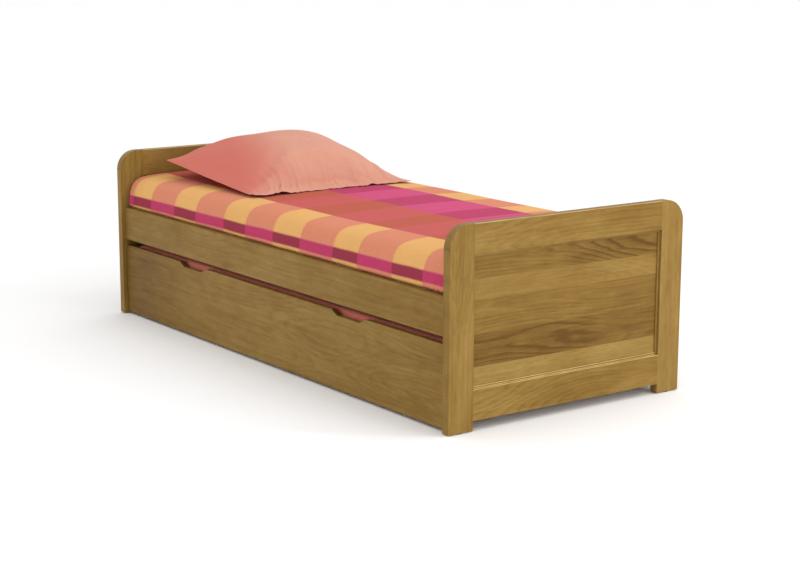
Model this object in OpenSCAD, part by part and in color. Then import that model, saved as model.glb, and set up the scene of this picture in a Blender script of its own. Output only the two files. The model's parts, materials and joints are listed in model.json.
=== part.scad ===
// Single bed with a drawer bed that rolls out from under it on four castors.
// Millimetres. The origin is the centre of the plan at floor level, +X points to
// the foot end, -Y to the side that the drawer bed leaves by, and +Z up.

/* [Overall] */
// Length over both end panels
bed_len = 1968; // [1966:1:1974]
// Width over the end panels
bed_w = 880; // [880:1:890]
// Height of the end panels
end_h = 592; // [570:1:620]

/* [End panels] */
// Thickness of stiles and rails
frame_t = 28; // [28:1:30]
// Width of each stile on its outer face
stile_w = 86; // [80:1:95]
// Radius of the two top corners
corner_r = 68; // [50:1:80]
// Height of the bottom rail's underside above the floor
bottom_rail_z = 30; // [25:1:40]
// Height of the bottom rail's top edge above the floor
panel_low_z = 122; // [110:1:130]
// Height of the top rail's lower edge above the floor
panel_high_z = 504; // [480:1:504]
// Depth of the moulding's first step
step_d = 8; // [6:0.5:9]
// Width of the moulding's ledge
step_w = 7; // [5:0.5:9]
// Thickness of the sunk panel
panel_t = 12; // [9:0.5:12]
// Height of the glides under the stiles
glide_h = 3; // [2:0.5:4]

/* [Side rails] */
// Height of a side rail
rail_h = 115; // [110:1:120]
// Thickness of a side rail
rail_t = 22; // [20:1:22]
// Height of a side rail's underside above the floor
rail_z = 274; // [274:1:280]
// Distance of a side rail's face behind the stile's edge
rail_setback = 13; // [10:1:13]

/* [Slatted base] */
// Number of slats in the bed
slat_count = 10; // [8:1:10]
// Width of a slat
slat_w = 90; // [70:1:95]
// Thickness of a slat
slat_t = 18; // [15:1:20]
// Height of the slats' upper face above the floor
slat_top_z = 350; // [345:1:352]

/* [Bedding] */
// Width of both mattresses
mattress_w = 800; // [790:1:800]
// Length of the main mattress
mattress_len = 1900; // [1880:5:1900]
// Thickness of both mattresses
mattress_t = 150; // [140:1:150]
// Thickness of the bedspread
spread_t = 3; // [2:0.5:3]
// Side of the square pillow with its flange
pillow_side = 655; // [600:5:660]
// Height of the pillow's crown above the bedspread
pillow_h = 160; // [120:5:180]

/* [Drawer bed] */
// Gap at each end of the drawer front
front_gap = 3; // [2:0.5:5]
// Height of the drawer front's lower edge above the floor
front_low_z = 9; // [8:1:15]
// Height of the drawer front's upper edge above the floor
front_high_z = 253; // [248:1:255]
// Thickness of the drawer front
front_t = 18; // [16:1:18]
// Distance of the drawer front behind the stile's edge
front_setback = 14; // [13:1:16]
// Distance of each finger notch from the middle of the front
notch_x = 470; // [400:5:520]
// Width of a finger notch at the top edge
notch_top_w = 178; // [160:1:190]
// Width of a finger notch at its bottom
notch_low_w = 114; // [80:1:124]
// Depth of a finger notch
notch_d = 15; // [12:1:20]
// Thickness of the drawer's ends and back
box_t = 16; // [15:1:16]
// Number of slats in the drawer bed
drawer_slat_count = 8; // [6:1:8]
// Length of the drawer mattress
drawer_mattress_len = 1850; // [1820:5:1850]

/* [Castors] */
// Radius of a castor wheel
wheel_r = 25; // [22:0.5:25]
// Width of a castor wheel
wheel_w = 18; // [14:1:20]
// Radius of a castor axle
axle_r = 3; // [2.5:0.1:4]

/* [Hidden] */
// Radial clearance of wheels on axles, and of fasteners in their holes
run_gap = 0.06;
hole_gap = 0.05;
// Extra length that carries a cut past a face
past = 1;

// End panels
half_len = bed_len / 2;
half_w = bed_w / 2;
inner_x = half_len - frame_t;
opening_half = half_w - stile_w;
ledge_d = 4;
groove_d = step_d + ledge_d;
panel_play = 1;

// Side rails and what they carry
rail_out_y = half_w - rail_setback;
rail_in_y = rail_out_y - rail_t;
rail_top_z = rail_z + rail_h;
rail_mid_y = rail_out_y - rail_t / 2;
cleat_t = 20;
cleat_h = 30;
cleat_end_gap = 46;
cleat_in_y = rail_in_y - cleat_t;
cleat_low_z = slat_top_z - slat_t - cleat_h;
slat_end_gap = 71;
slat_play = 2;
slat_half = rail_in_y - slat_play / 2;
slat_pitch = 2 * (inner_x - slat_end_gap) / (slat_count - 1);

// Rail fittings
cam_r = 7.4;
cam_h = 13.5;
cam_from_end = 34;
cam_x = inner_x - cam_from_end;
cam_slot = [9, 1.4, 1.6];
cam_bolt_r = 3.5;
cam_thread_r = 4;
cam_thread_len = 11;
cam_from_edge = 20;
cam_zs = [rail_z + cam_from_edge, rail_top_z - cam_from_edge];
dowel_r = 4;
dowel_len = 30;
dowel_z = rail_z + rail_h / 2;

// Wood screws: radius, head radius, head height
screw_r = 2;
screw_head_r = 4;
screw_head_h = 2.5;
bed_screw_len = 34;
drawer_screw_len = 30;
castor_screw_len = 14;
cleat_screw_steps = [-4, -2, 0, 2, 4];
screw_inset = 12;
cleat_screw_z = cleat_low_z + screw_inset;
bed_screw_y = cleat_in_y + screw_inset;
corner_screw_inset = 30;

// Glides
glide_r = 12;
glide_pin_r = 2.5;
glide_pin_len = 15;
glide_x = half_len - frame_t / 2;
glide_y = half_w - stile_w / 2;

// Bedding
shoulder_r = 55;
bulge = 8;
bulge_rise = 2;
bulge_z = rail_top_z + bulge_rise;
mattress_top = slat_top_z + mattress_t;
spread_top = mattress_top + spread_t;
spread_rise = 2;
spread_low_z = slat_top_z + spread_rise;
spread_foot_gap = 0.5;
pillow_from_head = 412;
pillow_x = -half_len + pillow_from_head;
pillow_y = 17;
pillow_tilt = 3.9;
pillow_flange_t = 5;
pillow_foot_lift = 3;
pillow_base_x = pillow_x + 20;
pillow_belly_d = pillow_side * 0.5;
pillow_crown_d = pillow_side * 0.25;
pillow_belly_share = 0.8;
pillow_cap_h = 1;

// Drawer bed
front_half = inner_x - front_gap;
front_out_y = -half_w + front_setback;
front_in_y = front_out_y + front_t;
drawer_low_z = 40;
drawer_side_h = 130;
drawer_play = 4;
drawer_inner_w = mattress_w + drawer_play;
back_in_y = front_in_y + drawer_inner_w;
back_out_y = back_in_y + box_t;
end_setback = 6;
end_out_x = front_half - end_setback;
end_in_x = end_out_x - box_t;
bearer_w = 70;
bearer_t = 22;
bearer_in_x = end_in_x - bearer_w;
base_z = 80;
bearer_low_z = base_z - bearer_t;
drawer_slat_w = 95;
drawer_slat_end_gap = 66;
drawer_slat_end = end_in_x - drawer_slat_end_gap;
drawer_slat_pitch = 2 * drawer_slat_end / (drawer_slat_count - 1);
drawer_slat_top = base_z + slat_t;
drawer_mid_y = (front_in_y + back_in_y) / 2;
drawer_shoulder_r = 25;
drawer_screw_steps = [-3, -2, 0, 2, 3];

// Castors
castor_x = end_in_x - bearer_w / 2;
castor_from_face = 38;
castor_ys = [front_in_y + castor_from_face, back_in_y - castor_from_face];
plate_t = 2.5;
plate_x = 42;
plate_y = 60;
plate_screw_x = 15;
plate_screw_y = 22;
plate_low_z = bearer_low_z - plate_t;
cheek_t = 2.5;
wheel_side_gap = 1;
cheek_gap = wheel_w / 2 + wheel_side_gap;
cheek_top_w = 40;
cheek_eye_r = 9;
axle_half = cheek_gap + cheek_t + wheel_side_gap;
axle_head_r = 5;
axle_head_t = 1.5;
tyre_round = 4;
hub_r = 12;
hub_sink = 2;
castor_count = 4;

// Colours
oak = [0.68, 0.52, 0.28];
pine = [0.85, 0.72, 0.5];
steel = [0.72, 0.72, 0.74];
coral = [0.85, 0.52, 0.44];
cotton = [0.93, 0.91, 0.86];
orange_rose = [0.88, 0.52, 0.42];
nylon = [0.15, 0.15, 0.16];
$fn = 48;

// ---------- shared shapes ----------

// A box from its lowest to its highest corner
module block(low, high) {
    translate(low) cube(high - low);
}

// A cylinder along X that starts at x = 0
module rod_x(r, len) {
    rotate([0, 90, 0]) cylinder(r = r, h = len);
}

// A cylinder along Y that starts at y = 0
module rod_y(r, len) {
    rotate([-90, 0, 0]) cylinder(r = r, h = len);
}

// Repeats its children on the front and on the back of the bed
module both_sides() {
    children();
    mirror([0, 1, 0]) children();
}

// Repeats its children at the head and at the foot
module both_ends() {
    children();
    mirror([1, 0, 0]) children();
}

// A countersunk screw whose head is flush at z = 0 and whose shank points down
module screw(len, gap = 0) {
    translate([0, 0, -len]) cylinder(r = screw_r + gap, h = len);
    translate([0, 0, -screw_head_h - gap])
        cylinder(r1 = screw_r + gap, r2 = screw_head_r + gap, h = screw_head_h + gap);
}

// ---------- end panels, drawn at the head with the outer face at x = -half_len ----------

// Extrudes an outline in the Y-Z plane from depth a to depth b behind the outer face
module slab(a, b) {
    translate([-half_len + a, 0, 0])
        rotate([90, 0, 90]) linear_extrude(b - a) children();
}

// One stile's outline with its rounded top corner
module stile_outline() {
    difference() {
        translate([-half_w, glide_h]) square([stile_w, end_h - glide_h]);
        translate([-half_w - past, end_h - corner_r]) square([corner_r + past, corner_r + past]);
    }
    translate([-half_w + corner_r, end_h - corner_r]) intersection() {
        circle(r = corner_r, $fn = 96);
        translate([-corner_r, 0]) square([corner_r, corner_r]);
    }
}

// The groove all round the opening that holds the panel's edge
module panel_groove() {
    slab(groove_d, groove_d + panel_t)
        translate([-opening_half, panel_low_z]) square([2 * opening_half, panel_high_z - panel_low_z]);
}

module end_stile() {
    difference() {
        union() {
            slab(0, frame_t) stile_outline();
            slab(step_d, frame_t)
                translate([-opening_half - past, bottom_rail_z])
                    square([step_w + past, end_h - bottom_rail_z]);
        }
        panel_groove();
        for (z = cam_zs)
            translate([-inner_x - cam_thread_len - past, -rail_mid_y, z])
                rod_x(cam_thread_r + hole_gap, cam_thread_len + 2 * past);
        translate([-inner_x - dowel_len / 2 - past, -rail_mid_y, dowel_z])
            rod_x(dowel_r + hole_gap, dowel_len);
        translate([-glide_x, -glide_y, 0])
            cylinder(r = glide_pin_r + hole_gap, h = glide_h + glide_pin_len + past);
    }
}

// A rail between two stiles; low and high are its edges on the outer face, and
// sill and head say which of them carries the moulding
module end_rail(low, high, sill, head) {
    difference() {
        union() {
            slab(0, step_d)
                translate([-opening_half, low]) square([2 * opening_half, high - low]);
            slab(step_d, frame_t)
                translate([-opening_half + step_w, low - sill * step_w])
                    square([2 * (opening_half - step_w), high - low + (sill + head) * step_w]);
        }
        panel_groove();
    }
}

module end_panel() {
    slab(groove_d, groove_d + panel_t)
        translate([-opening_half + panel_play, panel_low_z + panel_play])
            square([2 * (opening_half - panel_play), panel_high_z - panel_low_z - 2 * panel_play]);
}

module head_stile_front() { color(oak) end_stile(); }
module head_stile_back() { color(oak) mirror([0, 1, 0]) end_stile(); }
module head_top_rail() { color(oak) end_rail(panel_high_z, end_h, 1, 0); }
module head_bottom_rail() { color(oak) end_rail(bottom_rail_z, panel_low_z, 0, 1); }
module head_panel() { color(oak) end_panel(); }
module foot_stile_front() { color(oak) mirror([1, 0, 0]) end_stile(); }
module foot_stile_back() { color(oak) mirror([1, 0, 0]) mirror([0, 1, 0]) end_stile(); }
module foot_top_rail() { color(oak) mirror([1, 0, 0]) end_rail(panel_high_z, end_h, 1, 0); }
module foot_bottom_rail() { color(oak) mirror([1, 0, 0]) end_rail(bottom_rail_z, panel_low_z, 0, 1); }
module foot_panel() { color(oak) mirror([1, 0, 0]) end_panel(); }

// ---------- side rails and slatted base ----------

// Positions of the screws that hold one cleat, and of those through the slats
module at_cleat_screws() {
    for (k = cleat_screw_steps)
        translate([k * slat_pitch, 0, cleat_screw_z]) rotate([-90, 0, 0]) children();
}

module at_slat_screws() {
    for (i = [1:slat_count])
        translate([slat_x(i), 0, slat_top_z]) children();
}

function slat_x(i) = (i - (slat_count + 1) / 2) * slat_pitch;

// The front rail with the holes of its fittings
module side_rail() {
    difference() {
        block([-inner_x, -rail_out_y, rail_z], [inner_x, -rail_in_y, rail_top_z]);
        both_ends() {
            for (z = cam_zs) {
                translate([-inner_x - past, -rail_mid_y, z])
                    rod_x(cam_bolt_r + hole_gap, inner_x - cam_x + past);
                translate([-cam_x, -rail_in_y - cam_h - past, z])
                    rod_y(cam_r + hole_gap, cam_h + 2 * past);
            }
            translate([-inner_x - past, -rail_mid_y, dowel_z])
                rod_x(dowel_r + hole_gap, dowel_len / 2 + 2 * past);
        }
        translate([0, -cleat_in_y, 0]) at_cleat_screws() screw(bed_screw_len + past, hole_gap);
    }
}

module slat_cleat() {
    difference() {
        block([-inner_x + cleat_end_gap, -rail_in_y, cleat_low_z],
            [inner_x - cleat_end_gap, -cleat_in_y, cleat_low_z + cleat_h]);
        translate([0, -cleat_in_y, 0]) at_cleat_screws() screw(bed_screw_len, hole_gap);
        translate([0, -bed_screw_y, 0]) at_slat_screws() screw(bed_screw_len + past, hole_gap);
    }
}

module side_rail_front() { color(oak) side_rail(); }
module side_rail_back() { color(oak) mirror([0, 1, 0]) side_rail(); }
module slat_cleat_front() { color(pine) slat_cleat(); }
module slat_cleat_back() { color(pine) mirror([0, 1, 0]) slat_cleat(); }

module bed_slat(i) {
    color(pine) difference() {
        translate([slat_x(i), 0, slat_top_z - slat_t / 2])
            cube([slat_w, 2 * slat_half, slat_t], center = true);
        both_sides() translate([slat_x(i), -bed_screw_y, slat_top_z]) screw(bed_screw_len, hole_gap);
    }
}

// Steel bolts that stand in the stiles and run along the rails to the cams
module rail_cam_bolts() {
    color(steel) both_sides() both_ends() for (z = cam_zs)
        translate([-inner_x - cam_thread_len, -rail_mid_y, z]) {
            rod_x(cam_thread_r, cam_thread_len);
            rod_x(cam_bolt_r, cam_thread_len + inner_x - cam_x);
        }
}

// Cams that draw each bolt tight, with a hollow for the bolt's end and a driver slot
module rail_cam_locks() {
    color(steel) both_sides() both_ends() for (z = cam_zs)
        translate([-cam_x, -rail_in_y, z]) difference() {
            translate([0, -cam_h, 0]) rod_y(cam_r, cam_h);
            translate([-cam_r - past, -rail_t / 2, 0]) rod_x(cam_bolt_r + hole_gap, cam_r + 2 * past);
            cube([cam_slot[0], 2 * cam_slot[2], cam_slot[1]], center = true);
        }
}

module rail_dowels() {
    color(pine) both_sides() both_ends()
        translate([-inner_x - dowel_len / 2, -rail_mid_y, dowel_z]) rod_x(dowel_r, dowel_len);
}

module bed_screws() {
    color(steel) both_sides() {
        translate([0, -cleat_in_y, 0]) at_cleat_screws() screw(bed_screw_len);
        translate([0, -bed_screw_y, 0]) at_slat_screws() screw(bed_screw_len);
    }
}

module foot_glides() {
    color(nylon) both_sides() both_ends() translate([-glide_x, -glide_y, 0]) {
        cylinder(r = glide_r, h = glide_h);
        cylinder(r = glide_pin_r, h = glide_h + glide_pin_len);
    }
}

// ---------- bedding ----------

// A cushion's outline in the Y-Z plane: square below, swelling by extra above the
// height split, with round shoulders of radius r
module bedding_outline(half, extra, low, split, top, r) {
    translate([-half, low]) square([2 * half, split - low]);
    translate([-half - extra, split]) square([2 * (half + extra), top - split - r]);
    translate([-half - extra + r, split]) square([2 * (half + extra - r), top - split]);
    for (side = [-1, 1])
        translate([side * (half + extra - r), top - r]) circle(r = r);
}

module along_bed(half) {
    translate([-half, 0, 0]) rotate([90, 0, 90]) linear_extrude(2 * half) children();
}

module mattress() {
    color(cotton) along_bed(mattress_len / 2)
        bedding_outline(mattress_w / 2, bulge, slat_top_z, bulge_z, mattress_top, shoulder_r);
}

// A fitted cover over the mattress's top, sides and ends, tucked inside the rails
module bedspread() {
    color(orange_rose) difference() {
        along_bed(mattress_len / 2 + spread_t)
            bedding_outline(mattress_w / 2 + spread_t, bulge, spread_low_z, bulge_z, spread_top,
                shoulder_r + spread_t);
        along_bed(mattress_len / 2)
            bedding_outline(mattress_w / 2, bulge, slat_top_z - past, bulge_z, mattress_top, shoulder_r);
    }
}

// A thin disc across the pillow
module pillow_disc(d) {
    cylinder(d = d, h = pillow_cap_h, $fn = 32);
}

// A plain convex pillow: flat where it lies, a flange that rises to the head, a crown
module pillow() {
    base_z = spread_top + spread_foot_gap;
    foot_z = base_z + pillow_foot_lift;
    color(coral) hull() {
        translate([pillow_base_x, pillow_y, base_z]) pillow_disc(pillow_belly_d);
        translate([pillow_x + pillow_side / 2, pillow_y, foot_z])
            rotate([0, pillow_tilt, 0])
                translate([-pillow_side, -pillow_side / 2, 0])
                    cube([pillow_side, pillow_side, pillow_flange_t]);
        translate([pillow_x, pillow_y, base_z + pillow_h * pillow_belly_share])
            pillow_disc(pillow_belly_d);
        translate([pillow_x, pillow_y, base_z + pillow_h - pillow_cap_h])
            pillow_disc(pillow_crown_d);
    }
}

// ---------- drawer bed ----------

// A finger notch's outline in the X-Z plane, open at the top edge
module notch_outline() {
    polygon([
        [-notch_top_w / 2, past], [-notch_top_w / 2, 0],
        [-notch_low_w / 2, -notch_d], [notch_low_w / 2, -notch_d],
        [notch_top_w / 2, 0], [notch_top_w / 2, past]
    ]);
}

// Screws that hold a drawer cleat, with the head on the cleat's inner face at y = 0
module at_drawer_cleat_screws() {
    for (k = drawer_screw_steps)
        translate([k * drawer_slat_pitch, 0, bearer_low_z + bearer_t / 2]) rotate([-90, 0, 0]) children();
}

function drawer_slat_x(i) = (i - (drawer_slat_count + 1) / 2) * drawer_slat_pitch;

module at_drawer_slat_screws() {
    for (i = [1:drawer_slat_count])
        translate([drawer_slat_x(i), 0, drawer_slat_top]) children();
}

// Both rows of slat screws
module drawer_slat_screw_rows(len, gap = 0) {
    for (y = [front_in_y + bearer_t / 2, back_in_y - bearer_t / 2])
        translate([0, y, 0]) at_drawer_slat_screws() screw(len, gap);
}

// Screws of the front cleat
module front_cleat_screws(gap = 0) {
    translate([0, front_in_y + bearer_t, 0]) at_drawer_cleat_screws() screw(drawer_screw_len, gap);
}

// Screws of the back cleat
module back_cleat_screws(gap = 0) {
    translate([0, back_in_y - bearer_t, 0]) mirror([0, 1, 0])
        at_drawer_cleat_screws() screw(drawer_screw_len, gap);
}

// Screws through the back into the edges of the ends
module corner_screws(gap = 0) {
    both_ends() for (z = [corner_screw_inset, drawer_side_h - corner_screw_inset])
        translate([-end_out_x + box_t / 2, back_out_y, drawer_low_z + z])
            rotate([-90, 0, 0]) screw(drawer_screw_len, gap);
}

module drawer_front() {
    color(oak) difference() {
        block([-front_half, front_out_y, front_low_z], [front_half, front_in_y, front_high_z]);
        both_ends() translate([-notch_x, front_in_y + past, front_high_z])
            rotate([90, 0, 0]) linear_extrude(front_t + 2 * past) notch_outline();
        front_cleat_screws(hole_gap);
    }
}

module drawer_back() {
    color(oak) difference() {
        block([-end_out_x, back_in_y, drawer_low_z],
            [end_out_x, back_out_y, drawer_low_z + drawer_side_h]);
        back_cleat_screws(hole_gap);
        corner_screws(hole_gap);
    }
}

module drawer_end() {
    color(oak) difference() {
        block([-end_out_x, front_in_y, drawer_low_z],
            [-end_in_x, back_in_y, drawer_low_z + drawer_side_h]);
        corner_screws(hole_gap);
    }
}

module drawer_end_head() { drawer_end(); }
module drawer_end_foot() { mirror([1, 0, 0]) drawer_end(); }

module drawer_cleat_front() {
    color(pine) difference() {
        block([-bearer_in_x, front_in_y, bearer_low_z], [bearer_in_x, front_in_y + bearer_t, base_z]);
        front_cleat_screws(hole_gap);
        drawer_slat_screw_rows(drawer_screw_len + past, hole_gap);
    }
}

module drawer_cleat_back() {
    color(pine) difference() {
        block([-bearer_in_x, back_in_y - bearer_t, bearer_low_z], [bearer_in_x, back_in_y, base_z]);
        back_cleat_screws(hole_gap);
        drawer_slat_screw_rows(drawer_screw_len + past, hole_gap);
    }
}

module castor_bearer() {
    color(pine) difference() {
        block([-end_in_x, front_in_y, bearer_low_z], [-bearer_in_x, back_in_y, base_z]);
        drawer_slat_screw_rows(drawer_screw_len + past, hole_gap);
        at_castors([1, 2]) at_plate_screws() screw(castor_screw_len + past, hole_gap);
    }
}

module castor_bearer_head() { castor_bearer(); }
module castor_bearer_foot() { mirror([1, 0, 0]) castor_bearer(); }

module drawer_slat(i) {
    color(pine) difference() {
        translate([drawer_slat_x(i), drawer_mid_y, base_z + slat_t / 2])
            cube([drawer_slat_w, drawer_inner_w - slat_play, slat_t], center = true);
        drawer_slat_screw_rows(drawer_screw_len, hole_gap);
    }
}

module drawer_mattress() {
    color(coral) translate([0, drawer_mid_y, 0]) along_bed(drawer_mattress_len / 2)
        bedding_outline(mattress_w / 2, 0, drawer_slat_top, drawer_slat_top + past,
            drawer_slat_top + mattress_t, drawer_shoulder_r);
}

module drawer_screws() {
    color(steel) {
        drawer_slat_screw_rows(drawer_screw_len);
        front_cleat_screws();
        back_cleat_screws();
        corner_screws();
    }
}

// ---------- castors: 1 and 2 at the head, 3 and 4 at the foot, front one first ----------

function castor_place(i) = [(i > 2 ? 1 : -1) * castor_x, castor_ys[(i - 1) % 2], 0];

module at_castors(which) {
    for (i = which)
        translate(castor_place(i)) children();
}

module at_plate_screws() {
    for (x = [-plate_screw_x, plate_screw_x], y = [-plate_screw_y, plate_screw_y])
        translate([x, y, plate_low_z]) mirror([0, 0, 1]) children();
}

module cheek_outline() {
    polygon([
        [-cheek_top_w / 2, plate_low_z + plate_t / 2], [cheek_top_w / 2, plate_low_z + plate_t / 2],
        [cheek_eye_r, wheel_r], [-cheek_eye_r, wheel_r]
    ]);
    translate([0, wheel_r]) circle(r = cheek_eye_r);
}

// A steel plate with two cheeks that hold the axle
module castor_bracket(i) {
    color(steel) translate(castor_place(i)) difference() {
        union() {
            translate([0, 0, plate_low_z + plate_t / 2]) cube([plate_x, plate_y, plate_t], center = true);
            for (x = [-cheek_gap - cheek_t, cheek_gap])
                translate([x, 0, 0]) rotate([90, 0, 90]) linear_extrude(cheek_t) cheek_outline();
        }
        translate([-axle_half - past, 0, wheel_r]) rod_x(axle_r + hole_gap, 2 * (axle_half + past));
        at_plate_screws() screw(castor_screw_len, hole_gap);
    }
}

// A turned wheel: half its section, from the bore out, with round tyre edges and a sunk hub
module castor_wheel(i) {
    half = wheel_w / 2;
    color(nylon) translate(castor_place(i) + [0, 0, wheel_r]) rotate([0, 90, 0]) rotate_extrude($fn = 72) {
        translate([axle_r + run_gap, -half]) square([hub_r - axle_r - run_gap, wheel_w]);
        translate([hub_r, -half + hub_sink]) square([wheel_r - tyre_round - hub_r, wheel_w - 2 * hub_sink]);
        translate([wheel_r - 2 * tyre_round, -half]) square([tyre_round, wheel_w]);
        translate([wheel_r - tyre_round, -half + tyre_round]) square([tyre_round, wheel_w - 2 * tyre_round]);
        for (side = [-1, 1])
            translate([wheel_r - tyre_round, side * (half - tyre_round)]) circle(r = tyre_round);
    }
}

module castor_axles() {
    color(steel) at_castors([1:castor_count]) translate([0, 0, wheel_r]) {
        translate([-axle_half, 0, 0]) rod_x(axle_r, 2 * axle_half);
        for (x = [-axle_half - axle_head_t, axle_half])
            translate([x, 0, 0]) rod_x(axle_head_r, axle_head_t);
    }
}

module castor_screws() {
    color(steel) at_castors([1:castor_count]) at_plate_screws() screw(castor_screw_len);
}

// ---------- nodes ----------

head_stile_front();
head_stile_back();
head_top_rail();
head_bottom_rail();
head_panel();
foot_stile_front();
foot_stile_back();
foot_top_rail();
foot_bottom_rail();
foot_panel();
side_rail_front();
side_rail_back();
slat_cleat_front();
slat_cleat_back();
for (i = [1:slat_count]) bed_slat(i);
rail_cam_bolts();
rail_cam_locks();
rail_dowels();
bed_screws();
foot_glides();
mattress();
bedspread();
pillow();
drawer_front();
drawer_back();
drawer_end_head();
drawer_end_foot();
drawer_cleat_front();
drawer_cleat_back();
castor_bearer_head();
castor_bearer_foot();
for (i = [1:drawer_slat_count]) drawer_slat(i);
drawer_mattress();
for (i = [1:castor_count]) castor_bracket(i);
for (i = [1:castor_count]) castor_wheel(i);
castor_axles();
castor_screws();
drawer_screws();
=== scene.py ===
import json
import math
from functools import lru_cache

import bmesh
import bpy
from mathutils import Matrix, Vector, noise

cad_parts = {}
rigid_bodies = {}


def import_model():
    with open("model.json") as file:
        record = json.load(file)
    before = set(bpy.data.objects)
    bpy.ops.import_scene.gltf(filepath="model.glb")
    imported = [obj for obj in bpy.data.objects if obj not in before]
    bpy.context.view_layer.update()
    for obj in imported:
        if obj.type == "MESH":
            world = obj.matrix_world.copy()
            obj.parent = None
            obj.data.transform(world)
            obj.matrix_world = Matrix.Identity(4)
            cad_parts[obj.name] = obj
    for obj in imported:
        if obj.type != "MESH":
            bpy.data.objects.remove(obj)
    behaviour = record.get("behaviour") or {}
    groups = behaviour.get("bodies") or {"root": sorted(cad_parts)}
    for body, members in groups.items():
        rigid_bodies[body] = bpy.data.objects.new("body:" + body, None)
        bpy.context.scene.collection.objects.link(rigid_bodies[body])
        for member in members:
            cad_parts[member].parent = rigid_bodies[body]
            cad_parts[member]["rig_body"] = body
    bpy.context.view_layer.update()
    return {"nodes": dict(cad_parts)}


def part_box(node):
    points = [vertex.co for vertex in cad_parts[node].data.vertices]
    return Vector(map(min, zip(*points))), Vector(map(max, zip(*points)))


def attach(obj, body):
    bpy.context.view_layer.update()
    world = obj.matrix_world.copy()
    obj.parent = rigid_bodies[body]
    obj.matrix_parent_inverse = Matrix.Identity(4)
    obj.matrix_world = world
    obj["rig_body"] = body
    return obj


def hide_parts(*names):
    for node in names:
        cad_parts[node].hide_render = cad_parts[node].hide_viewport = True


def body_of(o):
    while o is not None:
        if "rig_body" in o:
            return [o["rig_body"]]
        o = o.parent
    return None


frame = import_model()
NODES = frame["nodes"]
SCENE = bpy.context.scene


# ---------------------------------------------------------------- helpers

def srgb(r, g, b):
    """An sRGB colour, 0 to 255, as linear RGBA."""
    def linear(c):
        c /= 255
        return c / 12.92 if c <= 0.04045 else ((c + 0.055) / 1.055) ** 2.4
    return (linear(r), linear(g), linear(b), 1.0)


def smooth(t):
    """Smoothstep of t clamped to 0..1."""
    t = min(max(t, 0.0), 1.0)
    return t * t * (3 - 2 * t)


def link_mesh(name, verts, faces):
    """A linked object made from vertex and face lists."""
    mesh = bpy.data.meshes.new(name)
    mesh.from_pydata([tuple(v) for v in verts], [], faces)
    mesh.update()
    obj = bpy.data.objects.new(name, mesh)
    SCENE.collection.objects.link(obj)
    return obj


def bake_modifiers(obj):
    """Replaces an object's mesh by its evaluated mesh and clears its modifiers."""
    bpy.context.view_layer.update()
    graph = bpy.context.evaluated_depsgraph_get()
    mesh = bpy.data.meshes.new_from_object(obj.evaluated_get(graph))
    old = obj.data
    obj.modifiers.clear()
    obj.data = mesh
    mesh.name = obj.name
    bpy.data.meshes.remove(old)


def shade(obj, angle=40):
    """Smooth shading with edges sharper than angle kept sharp."""
    obj.data.shade_smooth()
    obj.data.set_sharp_from_angle(angle=math.radians(angle))


def finish_piece(obj, body, material, nodes=()):
    """Gives a piece its material, body, slot and the CAD nodes it stands for."""
    obj.data.materials.clear()
    obj.data.materials.append(material)
    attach(obj, body)
    if nodes:
        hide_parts(*nodes)


class Shader:
    """A material's node tree, built by short calls."""

    def __init__(self, name):
        self.material = bpy.data.materials.new(name)
        self.material.use_nodes = True
        self.tree = self.material.node_tree
        self.tree.nodes.clear()

    def node(self, kind, inputs=(), **settings):
        """Adds a node; inputs take a value or another node's socket."""
        made = self.tree.nodes.new("ShaderNode" + kind)
        for key, value in settings.items():
            setattr(made, key, value)
        for key, value in dict(inputs).items():
            if isinstance(value, bpy.types.NodeSocket):
                self.tree.links.new(value, made.inputs[key])
            else:
                made.inputs[key].default_value = value
        return made

    def math(self, operation, a, b=0.0, c=0.0):
        return self.node("Math", {0: a, 1: b, 2: c}, operation=operation).outputs[0]

    def remap(self, value, low, high, to_low=0.0, to_high=1.0):
        """Maps low..high onto to_low..to_high and clamps outside."""
        made = self.node("MapRange", {0: value, 1: low, 2: high, 3: to_low, 4: to_high})
        return made.outputs[0]

    def noise(self, vector, scale, detail=2.0, rough=0.5, warp=0.0):
        made = self.node("TexNoise", {"Vector": vector, "Scale": scale, "Detail": detail,
                                      "Roughness": rough, "Distortion": warp})
        return made.outputs[0]

    def mix(self, factor, a, b):
        """Colour a blended into colour b by the factor."""
        made = self.node("Mix", {0: factor, 6: a, 7: b}, data_type="RGBA")
        return made.outputs[2]

    def scaled(self, vector, x, y, z):
        """Coordinates scaled axis by axis."""
        return self.node("Mapping", {"Vector": vector, "Scale": (x, y, z)}).outputs[0]

    def attribute(self, name):
        """A number that write_layer stored on the mesh."""
        return self.node("Attribute", attribute_name=name).outputs["Fac"]

    def past(self, value, place, soft=0.0028):
        """Rises from 0 to 1 as value passes a place, over a soft edge."""
        return self.remap(self.math("SUBTRACT", value, place), -soft, soft)

    def steps(self, value, places):
        """Alternates 0 and 1 as value passes each place in turn."""
        total = self.past(value, places[0])
        for at, place in enumerate(places[1:], 1):
            sign = "ADD" if at % 2 == 0 else "SUBTRACT"
            total = self.math(sign, total, self.past(value, place))
        return total

    def ramp(self, value, stops, interpolation="LINEAR"):
        made = self.node("ValToRGB", {0: value})
        made.color_ramp.interpolation = interpolation
        elements = made.color_ramp.elements
        while len(elements) < len(stops):
            elements.new(1.0)
        for element, (place, colour) in zip(elements, stops):
            element.position = place
            element.color = colour
        return made.outputs[0]

    def bump(self, height, distance, strength=1.0):
        made = self.node("Bump", {"Height": height, "Distance": distance, "Strength": strength})
        return made.outputs[0]

    def finish(self, **sockets):
        """A principled surface; underscores in a name stand for spaces."""
        surface = self.node("BsdfPrincipled", {k.replace("_", " "): v for k, v in sockets.items()})
        output = self.node("OutputMaterial")
        self.tree.links.new(surface.outputs[0], output.inputs[0])
        return self.material


# ---------------------------------------------------------------- wood

PALE_WEAR_AND_HIGHLIGHT = srgb(226, 194, 130)    # pale bare wood at the worn edges, also a painted highlight on the eased edges that face up
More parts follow.
